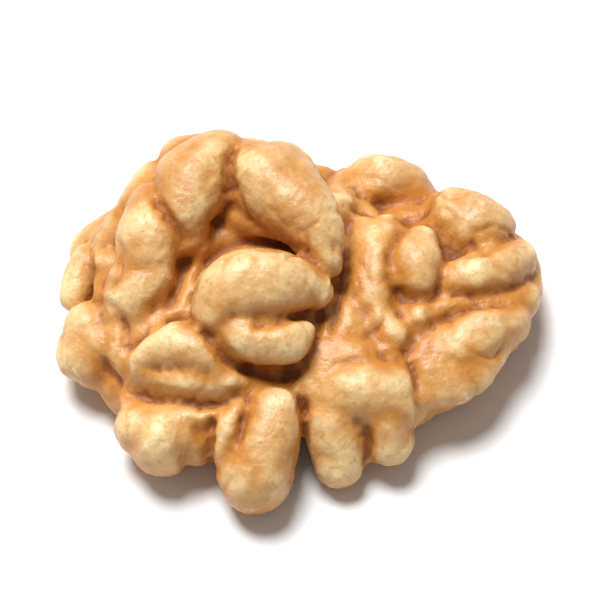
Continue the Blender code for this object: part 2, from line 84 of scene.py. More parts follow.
# Left lobe, outer face: routes of (across, up, height, radius) in millimetres
LEFT_LOBE = {
    "limb_foot": [(-11.6, -0.2, 5.8, 1.5), (-11.9, 1.6, 6.6, 2.3), (-11.1, 3.2, 7.4, 2.3)],
    "limb_top": [(-10.9, 4.6, 8.0, 2.3), (-10.6, 6.2, 8.3, 2.6), (-10.3, 7.6, 8.1, 2.5)],
    "crown_left": [
        (-7.9, 5.6, 8.0, 1.6), (-8.2, 7.6, 8.9, 2.5), (-7.6, 9.6, 9.3, 3.0), (-6.4, 11.0, 9.2, 2.9),
    ],
    "crown_right": [
        (-3.5, 11.0, 9.4, 2.8), (-2.0, 9.9, 9.8, 3.1), (-0.2, 8.3, 10.0, 2.8), (1.1, 6.5, 9.8, 2.2),
        (1.8, 4.6, 9.2, 1.7),
    ],
    "arch_floor": [
        (-7.8, 3.0, 5.6, 1.9), (-6.4, 5.2, 6.2, 2.0), (-4.8, 6.2, 6.4, 2.0), (-2.6, 6.0, 6.0, 2.0),
    ],
    "arch_nodules": [(-4.3, 7.5, 8.2, 1.2), (-3.3, 7.3, 8.5, 1.2), (-1.8, 6.9, 8.6, 1.0)],
    "middle_boss": [
        (-5.9, 0.7, 8.7, 2.1), (-5.3, 1.8, 9.3, 2.5), (-3.9, 2.5, 9.7, 2.8), (-2.0, 2.8, 9.8, 2.7),
        (-0.3, 2.7, 9.4, 2.2), (0.8, 2.4, 8.9, 1.6),
    ],
    "boss_lip": [
        (-5.3, -0.3, 8.1, 1.8), (-4.0, -0.9, 8.2, 2.0), (-2.4, -1.3, 8.2, 2.0), (-1.0, -1.3, 8.1, 1.8),
        (-0.3, -1.1, 7.8, 1.4),
    ],
    "boss_root": [(-5.0, 0.4, 6.8, 2.2), (-2.0, 0.8, 7.0, 2.4), (0.8, 1.8, 6.6, 2.0)],
    "shelf": [
        (-11.0, -2.9, 6.0, 1.4), (-9.4, -2.0, 6.9, 1.9), (-8.0, -1.9, 7.4, 2.0),
        (-6.6, -2.7, 7.2, 1.8), (-5.0, -3.6, 6.8, 1.3),
    ],
    "shelf_lip": [
        (-11.6, -3.9, 5.2, 0.9), (-9.6, -4.0, 6.0, 1.2), (-7.6, -4.1, 6.5, 1.5),
        (-5.8, -4.3, 6.6, 1.2), (-4.2, -4.1, 6.6, 0.8),
    ],
    "left_lobule": [(-15.0, -0.8, 3.8, 2.2), (-15.0, -2.5, 3.0, 2.6), (-14.2, -1.8, 3.8, 2.2)],
    "left_knob": [(-13.9, 4.8, 5.2, 1.2), (-13.5, 3.8, 5.6, 1.3)],
    "left_rim": [(-16.4, 1.6, 3.6, 1.1), (-15.8, 3.2, 4.0, 1.3), (-15.0, 4.6, 4.2, 1.4)],
    "left_shoulder": [(-15.0, 4.8, 2.8, 1.7), (-13.8, 5.8, 3.2, 1.8), (-12.2, 6.8, 3.4, 2.0)],
    "left_web": [(-15.2, 1.8, 3.0, 1.3), (-14.4, 3.6, 3.6, 1.8)],
    "front_left_lobule": [
        (-11.2, -7.6, 3.4, 2.2), (-9.8, -8.2, 3.3, 2.9), (-8.4, -8.2, 3.4, 2.5),
        (-7.7, -8.4, 3.3, 2.1),
    ],
    "front_left_root": [(-11.2, -5.8, 3.8, 1.9), (-8.6, -6.2, 4.4, 2.2), (-6.0, -6.0, 5.0, 2.0)],
    "front_lobe": [(-1.9, -6.4, 5.0, 2.1), (-2.4, -8.6, 4.1, 2.6), (-3.1, -10.8, 2.9, 2.9)],
    "front_ridge": [(-5.0, -6.4, 5.6, 1.2), (-5.3, -8.0, 4.9, 1.3), (-5.1, -9.4, 4.0, 1.3)],
}

# Right lobe, outer face
RIGHT_LOBE = {
    "saddle": [(1.6, -2.2, 5.2, 1.8), (3.8, -2.8, 5.3, 2.1), (6.2, -3.0, 5.1, 1.9)],
    "front_right": [
        (1.7, -5.3, 4.6, 2.0), (3.6, -5.1, 5.0, 2.4), (5.8, -5.1, 4.9, 2.5), (7.3, -5.7, 4.3, 2.1),
    ],
    "inner_toe": [(2.3, -7.0, 4.0, 2.1), (2.6, -8.6, 3.0, 2.1), (2.8, -10.0, 2.1, 1.8)],
    "outer_toe": [(6.0, -6.8, 4.0, 2.1), (6.4, -8.3, 2.9, 1.9)],
    "toe_web": [(4.3, -7.0, 3.6, 1.9), (4.5, -8.4, 2.4, 1.7)],
    "diagonal": [
        (9.8, -3.1, 4.4, 2.0), (11.2, -2.2, 4.6, 2.4), (13.0, -1.0, 4.6, 2.5), (14.6, 0.0, 4.3, 2.2),
    ],
    "diagonal_foot": [
        (9.6, -4.8, 2.6, 2.0), (11.2, -3.8, 2.8, 2.2), (13.0, -2.3, 2.9, 2.1), (14.4, -0.9, 2.8, 1.9),
    ],
    "right_ball": [(11.6, 6.9, 5.5, 2.8), (12.6, 6.7, 5.6, 3.0)],
    "right_band": [
        (10.6, 2.7, 6.2, 1.4), (12.4, 3.2, 6.3, 1.8), (14.2, 3.9, 5.9, 2.0), (15.4, 4.3, 5.2, 1.7),
    ],
    "band_foot": [(10.4, 1.0, 5.0, 1.5), (13.0, 1.6, 5.1, 1.8), (15.8, 1.6, 4.2, 1.7)],
    "right_rim": [(16.0, 4.0, 3.4, 1.4), (16.5, 2.2, 3.4, 1.4)],
    "small_lobule": [(8.5, 5.3, 6.7, 1.7), (8.3, 4.3, 7.0, 2.0), (8.4, 3.2, 6.8, 1.8)],
    "inner_ridge": [
        (6.0, 6.0, 6.0, 2.0), (5.7, 4.8, 6.3, 2.3), (5.6, 3.2, 6.4, 2.2), (5.2, 1.6, 6.2, 2.0),
    ],
    "inner_ridge_side": [(5.0, 6.0, 5.8, 2.0), (4.8, 4.4, 6.1, 2.2), (4.6, 2.4, 6.1, 2.1)],
    "groove_floor": [
        (3.4, 7.0, 5.6, 1.8), (3.2, 4.0, 5.9, 1.9), (2.9, 1.0, 5.8, 1.9), (3.2, -1.0, 5.6, 1.9),
    ],
    "long_nodule": [(5.7, 0.6, 6.5, 1.3), (5.9, 0.2, 6.5, 1.3)],
    "round_nodule": [(6.5, -0.9, 6.1, 1.5), (6.8, -1.2, 6.0, 1.5)],
    "outer_nodule": [(8.5, 0.5, 6.2, 1.2), (8.8, 0.1, 6.1, 1.2)],
    "nodule_root": [(5.2, -0.8, 5.4, 1.9), (7.2, 1.0, 5.4, 1.8), (8.0, -0.6, 5.2, 1.9)],
    "back_right": [(3.8, 9.4, 4.2, 1.9), (6.0, 9.9, 4.4, 2.3), (8.4, 9.2, 4.0, 2.0)],
}

# Back edge: routes of (x, y, z, radius)
BACK_EDGE = {
    "back_left_bend": [
        (-14.0, 7.0, 2.6, 2.1), (-13.0, 7.2, 4.8, 2.2), (-11.4, 9.0, 6.2, 2.3),
        (-10.2, 11.2, 4.8, 2.3), (-10.8, 11.4, 2.7, 2.2),
    ],
    "back_left_nub": [(-12.6, 9.4, 2.5, 1.9), (-12.4, 9.2, 3.4, 1.6)],
    "back_crown_bend": [
        (-8.0, 13.4, 2.7, 2.3), (-7.6, 12.8, 5.0, 2.4), (-5.8, 12.4, 7.4, 2.3), (-3.6, 13.0, 6.2, 2.2),
        (-3.2, 13.6, 4.6, 2.0),
    ],
    "back_crown_low": [(-5.4, 14.4, 2.7, 2.0), (-3.6, 14.4, 2.6, 2.2), (-2.0, 14.0, 2.6, 2.1)],
    "back_middle": [(0.4, 13.2, 2.5, 2.2), (-0.6, 12.6, 4.4, 2.2), (-0.8, 11.2, 7.2, 2.4)],
    "back_groove_side": [(2.8, 12.6, 2.4, 2.0), (2.8, 11.2, 4.0, 2.1), (2.0, 8.8, 6.6, 2.1)],
    "back_right_low": [(5.0, 13.0, 2.2, 2.0), (7.0, 12.9, 2.3, 2.2), (8.6, 12.0, 2.8, 2.1)],
    "back_right_side": [(10.2, 9.2, 4.4, 2.1), (10.8, 10.4, 2.7, 2.3), (12.6, 9.2, 2.4, 2.2)],
    "back_right_corner": [(13.2, 6.6, 4.2, 2.2), (14.6, 6.4, 2.8, 2.3), (15.9, 4.2, 2.5, 1.9)],
}

# Inner face, round a shallow hollow between the lobes
INNER_FACE = {
    "inner_left_rim": [
        (-8.0, -6.2, 2.7, 2.4), (-11.4, -3.6, 2.5, 2.5), (-13.2, 0.0, 2.5, 2.3),
        (-12.8, 2.6, 2.4, 2.4),
    ],
    "inner_left_side": [(-12.6, 4.8, 2.5, 2.3), (-10.4, 7.2, 2.4, 2.6), (-9.8, 9.4, 2.6, 2.2)],
    "inner_left_back": [(-7.4, 10.4, 2.5, 2.6), (-4.8, 11.2, 2.5, 2.4), (-2.4, 9.6, 2.7, 2.2)],
    "inner_left_curl": [
        (-9.4, -2.4, 2.8, 2.4), (-8.4, 1.0, 2.4, 2.5), (-9.4, 4.2, 2.6, 2.3), (-7.0, 6.0, 2.8, 2.2),
    ],
    "inner_left_middle": [(-5.2, -0.2, 3.2, 2.2), (-4.6, 3.0, 2.9, 2.3), (-4.0, 6.6, 3.0, 2.2)],
    "inner_left_front": [(-5.4, -7.4, 2.7, 2.3), (-4.4, -5.2, 2.5, 2.4), (-5.6, -2.8, 2.9, 2.2)],
    "inner_right_front": [(3.4, -6.2, 2.5, 2.3), (6.2, -4.6, 2.4, 2.4), (9.2, -2.8, 2.4, 2.4)],
    "inner_right_rim": [(12.2, -0.8, 2.5, 2.4), (13.2, 2.6, 2.5, 2.4), (11.4, 5.8, 2.5, 2.6)],
    "inner_right_back": [(9.2, 8.4, 2.6, 2.5), (6.4, 9.8, 2.5, 2.4), (3.6, 10.2, 2.7, 2.2)],
    "inner_right_curl": [
        (5.6, -1.6, 2.9, 2.2), (8.8, 0.4, 2.5, 2.4), (9.2, 3.6, 2.6, 2.3), (6.6, 5.6, 2.7, 2.3),
    ],
    "inner_right_middle": [(5.6, 1.2, 3.1, 2.0), (5.8, 2.8, 3.1, 2.0)],
    "hollow_left": [
        (-2.2, -3.6, 3.6, 1.9), (-1.0, -0.6, 3.7, 2.0), (-1.8, 2.6, 3.8, 2.0), (-0.8, 6.0, 3.7, 2.0),
    ],
    "hollow_right": [
        (2.0, -3.4, 3.7, 1.9), (2.6, 0.0, 3.8, 2.1), (1.8, 3.4, 3.9, 2.0), (3.0, 6.6, 3.6, 2.0),
    ],
    "isthmus": [(-1.6, 9.0, 4.0, 2.2), (1.4, 8.6, 4.1, 2.2), (4.2, 8.2, 4.0, 2.0)],
}

# The flesh under the folds: (centre, half sizes)
CORES = {
    "left_core": ((-5.8, 2.8, 5.2), (9.2, 10.4, 2.7)),
    "right_core": ((8.8, 2.4, 4.5), (7.4, 8.8, 2.5)),
    "middle_core": ((2.0, 2.6, 5.6), (5.5, 9.4, 2.0)),
}

# Creases of the outer face: (route of (across, up), half width, depth)
CREASES = {
    "limb_inside": ([(-9.6, 0.4), (-8.8, 2.4), (-8.0, 4.2), (-6.6, 5.6)], 0.4, 0.5),
    "arch_notch": ([(-10.8, 9.0), (-9.3, 7.3), (-8.0, 5.6)], 0.3, 0.5),
    "arch_cleft": ([(-4.9, 12.8), (-4.9, 11.6), (-4.8, 10.2), (-4.6, 8.8)], 0.4, 0.5),
    "limb_middle": ([(-13.4, 4.0), (-11.8, 3.6), (-10.0, 3.4)], 0.4, 0.25),
    "boss_back": ([(-8.0, 0.8), (-7.2, 3.4), (-5.4, 5.1), (-2.6, 5.7), (0.0, 5.2), (1.4, 3.9)], 0.35, 0.5),
    "boss_front": ([(-3.6, -0.2), (-2.0, -0.2), (-0.2, 0.3), (1.2, 1.3)], 0.3, 0.5),
    "lip_under": ([(-6.2, -1.4), (-5.2, -2.8), (-3.4, -3.6), (-1.2, -3.9), (0.4, -3.2)], 0.5, 0.9),
    "lip_end": ([(1.6, 1.0), (1.3, -0.4), (0.7, -2.0)], 0.35, 0.6),
    "shelf_left": ([(-12.4, -2.6), (-11.0, -1.0), (-9.2, 0.1), (-8.0, 0.2)], 0.4, 0.6),
    "shelf_right": ([(-7.2, -0.2), (-6.2, -1.8), (-5.0, -3.0), (-3.6, -4.0)], 0.4, 0.6),
    "shelf_under": ([(-12.8, -4.9), (-10.6, -5.4), (-8.4, -5.7), (-6.4, -5.9), (-4.6, -5.4)], 0.5, 1.1),
    "shelf_fold": ([(-12.2, -3.0), (-11.0, -3.2), (-9.9, -3.5), (-8.8, -3.3)], 0.2, 0.14),
    "lobule_edge": ([(-12.4, -4.2), (-12.1, -2.0), (-12.6, 0.2), (-14.2, 1.5), (-16.4, 1.2)], 0.35, 0.5),
    "knob_edge": ([(-14.8, 2.4), (-13.2, 2.8), (-12.7, 4.4), (-12.9, 6.0)], 0.4, 0.4),
    "front_gap": ([(-6.4, -6.4), (-6.4, -8.0), (-6.4, -10.0)], 0.35, 0.6),
    "front_ridge_edge": ([(-3.9, -6.2), (-4.2, -7.6), (-4.2, -9.0)], 0.3, 0.35),
    "toe_left": ([(0.2, -5.2), (0.4, -6.8), (0.6, -9.4)], 0.3, 0.4),
    "between_toes": ([(4.7, -7.2), (4.8, -8.6), (4.7, -10.2)], 0.4, 0.5),
    "diagonal_low": ([(8.0, -2.6), (8.4, -4.8), (8.8, -7.2)], 0.35, 0.5),
    "diagonal_top": ([(8.4, -1.4), (10.0, 0.0), (12.6, 1.0), (16.2, 1.2)], 0.35, 0.5),
    "ball_edge": ([(9.4, 8.0), (9.9, 6.2), (10.4, 5.0), (12.0, 4.7), (14.0, 5.4), (15.4, 6.2)], 0.35, 0.4),
    "band_edge": ([(9.8, 2.0), (12.0, 1.8), (14.2, 2.2), (16.4, 3.0)], 0.3, 0.25),
    "small_edge": ([(7.4, 6.8), (6.5, 5.0), (6.4, 3.2), (7.4, 1.8), (9.4, 1.5), (10.3, 3.4)], 0.3, 0.4),
    "nodule_edge": ([(4.9, -1.2), (6.2, -2.6), (7.9, -2.2), (8.2, -0.8)], 0.3, 0.3),
    "back_right_edge": ([(2.8, 9.0), (5.0, 7.9), (7.8, 7.4), (9.6, 8.4)], 0.4, 0.5),
    "median_groove": ([(3.5, 8.2), (3.5, 6.0), (3.3, 3.6), (2.6, 1.0), (2.0, -1.4)], 0.4, 0.5),
}
CREASE_STEP = 0.2  # mm between the samples of a crease
CREASE_REACH = 3  # half widths, past which a crease does nothing
CREASE_FADE = 5  # a crease fades out over a fifth of its length at each end
CREASE_FALLOFF = 1.3  # over 1 makes a rounder bottom than a plain exponential
CREASE_SLANT = 0.6  # how much a crease is pressed in square to the skin, not straight back
OUTSIDE = 100  # mm, well clear of the kernel


def on_plane(across, up, height):
    """The place in space, in millimetres, of a place on the leaning plane."""
    y = (up + PLANE_SHIFT - height * math.cos(LEAN)) / math.sin(LEAN)
    return Vector((across, y, height))


def spline(route):
    """Catmull-Rom samples through a route of points with any number of values each."""
    points = [Vector(point) for point in route]
    ends = [2 * points[0] - points[1], *points, 2 * points[-1] - points[-2]]
    samples = []
    for before, start, end, after in zip(ends, ends[1:], ends[2:], ends[3:]):
        for step in range(SPLINE_STEPS):
            t = step / SPLINE_STEPS
            linear = t * (end - before)
            square = t**2 * (2 * before - 5 * start + 4 * end - after)
            cube = t**3 * (3 * start - before - 3 * end + after)
            samples.append(0.5 * (2 * start + linear + square + cube))
    return [*samples, points[-1]]


def rounded_end(tip, neighbour):
    """Rings that close a tube with half a ball, from the tip's own ring outwards."""
    outwards = (tip - neighbour).to_3d().normalized()
    rings = []
    for ring in range(1, CAP_RINGS + 1):
        angle = CAP_TURN * ring / CAP_RINGS
        place = tip.to_3d() + outwards * tip.w * math.sin(angle)
        rings.append(Vector((*place, tip.w * math.cos(angle))))
    return rings


def fold_mesh(name, route):
    """A closed tube along the route of (x, y, z, radius)."""
    samples = spline(route)
    first_end = rounded_end(samples[0], samples[1])
    last_end = rounded_end(samples[-1], samples[-2])
    line = [*reversed(first_end), *samples, *last_end]
    curve = bpy.data.curves.new(name, "CURVE")
    curve.dimensions = "3D"
    curve.bevel_depth = MM
    curve.bevel_resolution = TUBE_SEGMENTS
    curve.use_fill_caps = True
    path = curve.splines.new("POLY")
    path.points.add(len(line) - 1)
    for point, sample in zip(path.points, line):
        point.co = (*(sample.to_3d() * MM), 1)
        point.radius = sample.w
    tube = bpy.data.objects.new(name, curve)
    bpy.context.scene.collection.objects.link(tube)
    graph = bpy.context.evaluated_depsgraph_get()
    mesh = bpy.data.meshes.new_from_object(tube.evaluated_get(graph))
    bpy.data.objects.remove(tube)
    return mesh


def flesh():
    """All folds and cores in one mesh, as separate closed shells that overlap."""
    body = bmesh.new()
    for name, route in {**LEFT_LOBE, **RIGHT_LOBE}.items():
        placed = [(*on_plane(across, up, height), radius) for across, up, height, radius in route]
        body.from_mesh(fold_mesh(name, placed))
    for name, route in {**BACK_EDGE, **INNER_FACE}.items():
        body.from_mesh(fold_mesh(name, route))
    for centre, half_sizes in CORES.values():
        place = Matrix.Translation(Vector(centre) * MM) @ Matrix.Diagonal((*(Vector(half_sizes) * MM), 1))
        bmesh.ops.create_uvsphere(
            body, u_segments=CORE_SEGMENTS, v_segments=CORE_SEGMENTS // 2, radius=1, matrix=place
        )
    mesh = bpy.data.meshes.new("kernel_skin")
    body.to_mesh(mesh)
    body.free()
    return mesh


def grow_skin(obj, easing):
    """One even skin over whatever the object holds, eased by that many rounds."""
    remesh = obj.modifiers.new("one_skin", "REMESH")
    remesh.mode = "VOXEL"
    remesh.voxel_size = SKIN_STEP * MM
    smooth = obj.modifiers.new("ease", "SMOOTH")
    smooth.factor = 0.5
    smooth.iterations = easing
    graph = bpy.context.evaluated_depsgraph_get()
    mesh = bpy.data.meshes.new_from_object(obj.evaluated_get(graph))
    obj.modifiers.clear()
    obj.data = mesh


def vertex_values(mesh, name):
    values = np.empty(len(mesh.vertices) * 3)
    mesh.vertices.foreach_get(name, values)
    return values.reshape(-1, 3)


def move_vertices(mesh, places):
    mesh.vertices.foreach_set("co", (places * MM).ravel())
    mesh.update()


def crease_on_skin(tree, route):
    """Close samples of a crease's route, dropped on the skin square to the leaning plane."""
    corners = spline([(across, up) for across, up in route])
    samples = []
    for start, end in zip(corners, corners[1:]):
        steps = max(1, int((end - start).length / CREASE_STEP))
        samples += [start.lerp(end, step / steps) for step in range(steps)]
    far_out = -OUTSIDE * MM * INWARDS
    hits = [tree.ray_cast(on_plane(*sample, 0) * MM + far_out, INWARDS)[0] for sample in samples]
    return np.array([hit / MM for hit in hits if hit])


def press_creases(mesh):
    """Pushes the skin in along every crease, deepest on its line and fading out at its ends."""
    tree = BVHTree.FromPolygons([v.co for v in mesh.vertices], [tuple(f.vertices) for f in mesh.polygons])
    places = vertex_values(mesh, "co") / MM
    push = np.zeros(len(places))
    for route, half_width, depth in CREASES.values():
        line = crease_on_skin(tree, route)
        reach = CREASE_REACH * half_width
        near = np.flatnonzero(((places > line.min(0) - reach) & (places < line.max(0) + reach)).all(1))
        squared = ((places[near, None] - line[None]) ** 2).sum(2)
        along = squared.argmin(1) / len(line)
        ends = np.sqrt(np.clip(CREASE_FADE * np.minimum(along, 1 - along), 0, 1))
        shape = np.exp(-((np.sqrt(squared.min(1)) / half_width) ** CREASE_FALLOFF))
        push[near] = np.maximum(push[near], depth * shape * ends)
    direction = np.array(INWARDS) - CREASE_SLANT * vertex_values(mesh, "normal")
    direction /= np.linalg.norm(direction, axis=1)[:, None]
    move_vertices(mesh, places + direction * push[:, None])


def noise_at(places, size, seed):
    """Smooth noise between about -1 and 1, with features of that size in millimetres."""
    shift = Vector((seed, 2 * seed, 3 * seed))
    return np.array([noise.noise(Vector(place) / size + shift) for place in places])


BEND_SIZE = 5.0  # mm between the wanderings of the folds
BEND_SEEDS = (17.0, 29.0, 41.0)
BEND_ALL = 0.25  # mm that the folds wander on the outer face
BEND_HIDDEN = 1.1  # mm that they wander further behind and underneath
BEND_UPWARDS = 0.3  # share of that in height
BEHIND = (8.0, 13.0)  # y where the back starts, and where it is all back
UNDERNEATH = (4.5, 1.5)  # z, likewise
PAST_FRONT = (-8.0, -4.0)  # y, so that the front lobes keep their place


def rising(values, start, full):
    """0 up to the start and 1 from full, with an even slope between them."""
    return np.clip((values - start) / (full - start), 0, 1)


def bend_folds(mesh):
    """Makes the folds wander: a little on the outer face, and more behind and underneath."""
    places = vertex_values(mesh, "co") / MM
    bend = np.stack([noise_at(places, BEND_SIZE, seed) for seed in BEND_SEEDS], axis=1)
    behind = rising(places[:, 1], *BEHIND)
    under = rising(places[:, 2], *UNDERNEATH) * rising(places[:, 1], *PAST_FRONT)
    reach = BEND_ALL + BEND_HIDDEN * np.maximum(behind, under)
    move_vertices(mesh, places + bend * reach[:, None] * (1, 1, BEND_UPWARDS))


# Lumps along the folds, and the skin's finest ones: (size, height, seed) of each layer
LUMPS = ((4.5, 0.22, 3.0), (2.2, 0.09, 1.5))
FINE_LUMPS = ((0.9, 0.05, 7.0), (0.5, 0.025, 13.0))


def raise_lumps(mesh, layers):
    """Uneven swelling of the skin."""
    places = vertex_values(mesh, "co") / MM
    rise = sum(height * noise_at(places, size, seed) for size, height, seed in layers)
    move_vertices(mesh, places + vertex_values(mesh, "normal") * rise[:, None])


def eased_places(mesh, places, rounds):
    """Where the points go when each moves half way to the middle of its neighbours, again and again."""
    ends = np.empty(len(mesh.edges) * 2, dtype=np.int64)
    mesh.edges.foreach_get("vertices", ends)
    first, second = ends.reshape(-1, 2).T
    neighbours = np.bincount(ends, minlength=len(places))
    for _ in range(rounds):
        total = [
            np.bincount(first, axis[second], len(axis)) + np.bincount(second, axis[first], len(axis))
            for axis in places.T
        ]
        places = (places + (np.array(total) / neighbours).T) / 2
    return places


def swell(mesh, rounds, rises, hollows, limit):
    """Exaggerates rises and hollows smaller than what that many rounds of easing remove."""
    places = vertex_values(mesh, "co") / MM
    change = places - eased_places(mesh, places, rounds)
    size = np.linalg.norm(change, axis=1)
    change *= np.minimum(1, limit / np.maximum(size, MM))[:, None]
    outwards = (change * vertex_values(mesh, "normal")).sum(1) > 0
    share = np.where(outwards, rises, hollows)
    move_vertices(mesh, places + share[:, None] * change)


# Fine creases of the skin: (size of their net, depth, half width, seed) of each layer
WRINKLES = ((3.4, 0.14, 0.10, 5), (2.0, 0.07, 0.12, 9))
WRINKLE_BEND = 1.2  # mm that they wander
WRINKLE_BEND_SIZE = 4.0
WRINKLE_BEND_SEEDS = (11, 23, 37)
WRINKLE_PATCH = 5.0  # mm, the size of the places where they are deep or faint
WRINKLE_DEPTH = (0.45, 1.4)  # their usual share of full depth, and how much it varies


def wrinkle(mesh):
    """Fine creases where smooth noise passes through zero, deeper here and fainter there."""
    places = vertex_values(mesh, "co") / MM
    bend = np.stack([noise_at(places, WRINKLE_BEND_SIZE, seed) for seed in WRINKLE_BEND_SEEDS], axis=1)
    bent = places + WRINKLE_BEND * bend
    push = np.zeros(len(places))
    usual, varying = WRINKLE_DEPTH
    for size, depth, width, seed in WRINKLES:
        line = np.exp(-((noise_at(bent, size, seed) / width) ** 2))
        strength = np.clip(usual + varying * noise_at(places, WRINKLE_PATCH, seed + 1), 0, 1)
        push += depth * line * strength
    move_vertices(mesh, places - vertex_values(mesh, "normal") * push[:, None])


kernel = bpy.data.objects.new("kernel_flesh", flesh())
bpy.context.scene.collection.objects.link(kernel)
grow_skin(kernel, easing=4)
press_creases(kernel.data)
bend_folds(kernel.data)
raise_lumps(kernel.data, LUMPS)
grow_skin(kernel, easing=2)
swell(kernel.data, rounds=60, rises=0.3, hollows=0.5, limit=0.6)
grow_skin(kernel, easing=2)
swell(kernel.data, rounds=16, rises=0.1, hollows=0.6, limit=0.25)
wrinkle(kernel.data)
raise_lumps(kernel.data, FINE_LUMPS)

# The kernel takes its exact box from the plain solid, and its lowest lobes are level at the floor
FOOT_TRIM = 0.25
low, high = (np.array(corner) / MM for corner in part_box("walnut_kernel"))
places = vertex_values(kernel.data, "co") / MM
skin_low, skin_high = places.min(0), places.max(0)
skin_low[2] += FOOT_TRIM
places = low + (places - skin_low) * (high - low) / (skin_high - skin_low)
places[:, 2] = np.maximum(places[:, 2], low[2])
move_vertices(kernel.data, places)


def keep_value(mesh, name, values):
    layer = mesh.attributes.new(name, "FLOAT", "POINT")
    layer.data.foreach_set("value", values.astype(np.float32))


def height_over_neighbours(mesh, rounds):
    """How far each point stands out from the skin round it, in millimetres: below zero in a hollow."""
    places = vertex_values(mesh, "co") / MM
    return ((places - eased_places(mesh, places, rounds)) * vertex_values(mesh, "normal")).sum(1)


# What the finish goes by: broad folds and hollows, narrow creases, and which way the skin faces. These
# also place the painted shade in the hollows and creases and the painted light on the tops that face up.
FOLD_ROUNDS = 150
CREASE_ROUNDS = 12
keep_value(kernel.data, "fold_height", height_over_neighbours(kernel.data, FOLD_ROUNDS))
keep_value(kernel.data, "crease_height", height_over_neighbours(kernel.data, CREASE_ROUNDS))
keep_value(kernel.data, "facing_up", vertex_values(kernel.data, "normal")[:, 2])
kernel.data.shade_smooth()


class Wire:
    """One output of a tree's nodes, with arithmetic on it."""

    tree = None

    def __init__(self, socket):
        self.socket = socket

    @classmethod
    def node(cls, kind, settings=None, inputs=None, output=0):
        """A node of that kind, its settings made first, then its inputs as values or links."""
        node = cls.tree.nodes.new(kind)
        for name, setting in (settings or {}).items():
            setattr(node, name, setting)
        for name, value in (inputs or {}).items():
            if isinstance(value, Wire):
                cls.tree.links.new(value.socket, node.inputs[name])
            else:
                node.inputs[name].default_value = value
        return cls(node.outputs[output])

    def _math(self, operation, *values):
        return Wire.node("ShaderNodeMath", {"operation": operation}, dict(enumerate(values)))

    def __add__(self, other):
        return self._math("ADD", self, other)

    __radd__ = __add__

    def __mul__(self, other):
        return self._math("MULTIPLY", self, other)

    __rmul__ = __mul__

    def __sub__(self, other):
        return self._math("SUBTRACT", self, other)

    def __rsub__(self, other):
        return self._math("SUBTRACT", other, self)

    def between(self, low, high):
        """0 at low, 1 at high, and smooth between them."""
        return Wire.node(
            "ShaderNodeMapRange",
            {"interpolation_type": "SMOOTHSTEP"},
            {"Value": self, "From Min": low, "From Max": high, "To Min": 0.0, "To Max": 1.0},
        )


def mixed(first, second, share):
    """Two colours mixed, as a colour."""
    inputs = {0: share, 6: first, 7: second}
    return Wire.node("ShaderNodeMix", {"data_type": "RGBA"}, inputs, output=2)


def colour(red, green, blue):
    """A colour written as it looks on a screen, from 0 to 255, as Blender's own numbers."""
    return tuple((part / 255) ** 2.2 for part in (red, green, blue)) + (1,)


# The skin's colours, from where it is rubbed thin to the bottoms of the creases. The cream is also a
# painted highlight, the amber and rust are also painted shade, and the darkest is painted shade only.
SKIN_SCUFF = colour(244, 228, 192)
CREAM_SKIN_AND_HIGHLIGHT = colour(238, 213, 158)
SKIN_TAN = colour(208, 153, 88)
SKIN_GOLD = colour(190, 124, 54)
AMBER_SKIN_AND_SHADE = colour(170, 98, 34)
RUST_BROWN_SKIN_AND_SHADE = colour(126, 62, 20)
PAINTED_SHADE_IN_CREASES = colour(60, 24, 6)

skin = bpy.data.materials.new("kernel_skin")
skin.use_nodes = True
Wire.tree = skin.node_tree
place = Wire.node("ShaderNodeTexCoord", output="Object")
place_mm = Wire.node("ShaderNodeVectorMath", {"operation": "SCALE"}, {0: place, "Scale": 1 / MM})


def kept_value(name):
    """A value that the mesh keeps at each of its points."""
    return Wire.node("ShaderNodeAttribute", {"attribute_name": name}, output="Fac")


def cloudy(scale, detail, distortion=0.0, places=place_mm):
    """Soft noise over the skin, from about 0 to 1, with so many features to a millimetre."""
    inputs = {"Vector": places, "Scale": scale, "Detail": detail, "Distortion": distortion}
    return Wire.node("ShaderNodeTexNoise", inputs=inputs)


patches = cloudy(0.17, 3.0, 0.6)
blotches = cloudy(0.5, 4.0, 0.8)
grain = cloudy(3.2, 5.0)

# Streaks that run down the sides of the folds: more to a millimetre across than downwards
STREAKS_TO_MM = (1.7, 1.7, 0.35)
downhill = Wire.node("ShaderNodeVectorMath", {"operation": "MULTIPLY"}, {0: place_mm, 1: STREAKS_TO_MM})
streaks = cloudy(1.0, 4.0, 0.5, downhill)

# Heights over the skin round about, in millimetres, where each part of the finish starts and is full
RIDGE_HEIGHTS = (0.05, 0.5)
SCUFF_HEIGHTS = (0.2, 0.6)
SLOPE_DEPTHS = (-0.05, 0.6)
HOLLOW_DEPTHS = (0.25, 1.1)
CREASE_DEPTHS = (0.015, 0.10)
BLOTCHES_SHIFT = 0.35  # mm that the blotches move those heights
STREAKS_SHIFT = 0.7  # mm that the streaks move the slopes' depths
SIDEWAYS_TO_UP = (-0.1, 0.75)  # the part of the normal that points up
relief = kept_value("fold_height") + BLOTCHES_SHIFT * (blotches - 0.5)
sunk = 0.0 - relief
# Painted light: the fold tops are made cream mostly where the skin faces up, so they look lit from above
# and their sides look shaded. The rest of their paleness is worn skin.
painted_top_light = kept_value("facing_up").between(*SIDEWAYS_TO_UP)
worn_and_lit_tops = relief.between(*RIDGE_HEIGHTS) * (0.25 + 0.75 * painted_top_light)
# Painted shade, partly the real darker skin of the dips: amber on the sunk sides of the folds, rust in the
# broad hollows and in the narrow creases.
slope = (sunk + STREAKS_SHIFT * (streaks - 0.5)).between(*SLOPE_DEPTHS)
hollow = sunk.between(*HOLLOW_DEPTHS)
crease = (0.0 - kept_value("crease_height")).between(*CREASE_DEPTHS)

